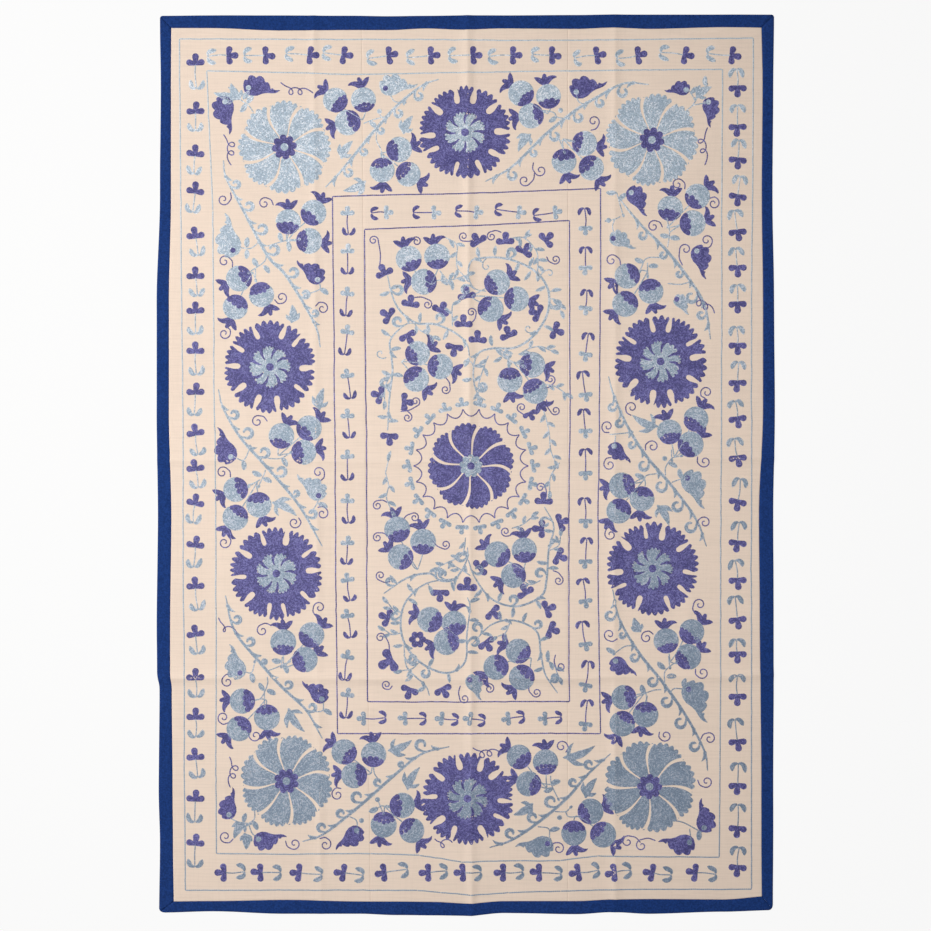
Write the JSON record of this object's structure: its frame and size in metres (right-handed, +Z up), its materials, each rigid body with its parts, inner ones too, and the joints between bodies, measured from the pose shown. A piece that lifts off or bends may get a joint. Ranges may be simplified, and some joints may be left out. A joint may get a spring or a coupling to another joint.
{
  "type": "suzani embroidered textile",
  "caption": "Suzani bedcover or hanging: cream cotton panels embroidered with rosettes, pomegranates, vines and small sprigs, in a mitred blue binding, lying flat",
  "frame": {"origin": "under the middle of the cloth, on the surface that it lies on", "axes": "+X to the right and +Y to the top of the cloth as seen from above, +Z up out of the embroidered face"},
  "size_m": [1.5159, 2.21, 0.0075],
  "materials": {
    "ground_cotton": "hand-woven cream cotton, plain weave with slubs, washed and matt, embroidered",
    "binding_cotton": "deep blue plain cotton strip, folded over the edge and hemmed by hand",
    "violet_thread": "indigo-violet embroidery silk in chain stitch, softly lustrous, mottled",
    "pale_blue_thread": "pale blue embroidery silk in chain stitch, softly lustrous, mottled"
  },
  "bodies": {
    "root": {"panel_left": "ground_cotton", "panel_centre": "ground_cotton", "panel_right": "ground_cotton", "binding_left": "binding_cotton", "binding_right": "binding_cotton", "binding_bottom": "binding_cotton", "binding_top": "binding_cotton"}
  },
  "joints": []
}
